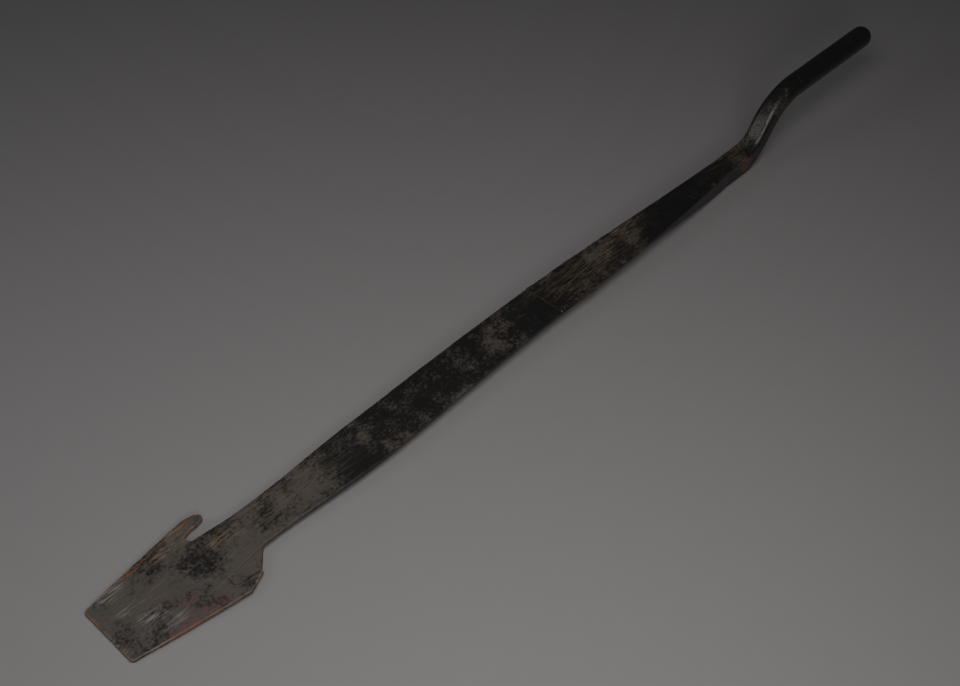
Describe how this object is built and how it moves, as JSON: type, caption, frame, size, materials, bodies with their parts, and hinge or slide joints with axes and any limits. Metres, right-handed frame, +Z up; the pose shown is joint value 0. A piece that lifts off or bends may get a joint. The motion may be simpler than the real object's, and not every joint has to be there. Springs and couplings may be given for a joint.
{
  "type": "slate ripper",
  "caption": "Forged steel slate ripper: thin fan-shaped head with barbed nail notches on a long flat strap that swells into a cranked shank with a round handle.",
  "frame": {"origin": "centre of the overall bounding box in plan, at the height of the surface the tool lies on, which the front edge of the head and the flat heel of the shank both touch", "axes": "+X runs along the tool from the head to the tip of the handle, +Y across the blade toward the round-nosed barb, +Z up, out of the top of the blade"},
  "size_m": [0.8061, 0.074, 0.0603],
  "materials": {
    "head_steel": "forged, oiled near black, with scraped and rusty edges",
    "strap_steel": "hammered and forged, oiled near black",
    "shank_steel": "forged, pitted, worn brown-grey on the upper faces",
    "handle_steel": "smooth, black, polished by the hand"
  },
  "bodies": {
    "root": {"barbed_head": "head_steel", "blade_strap": "strap_steel", "cranked_shank": "shank_steel", "round_handle": "handle_steel"}
  },
  "joints": []
}
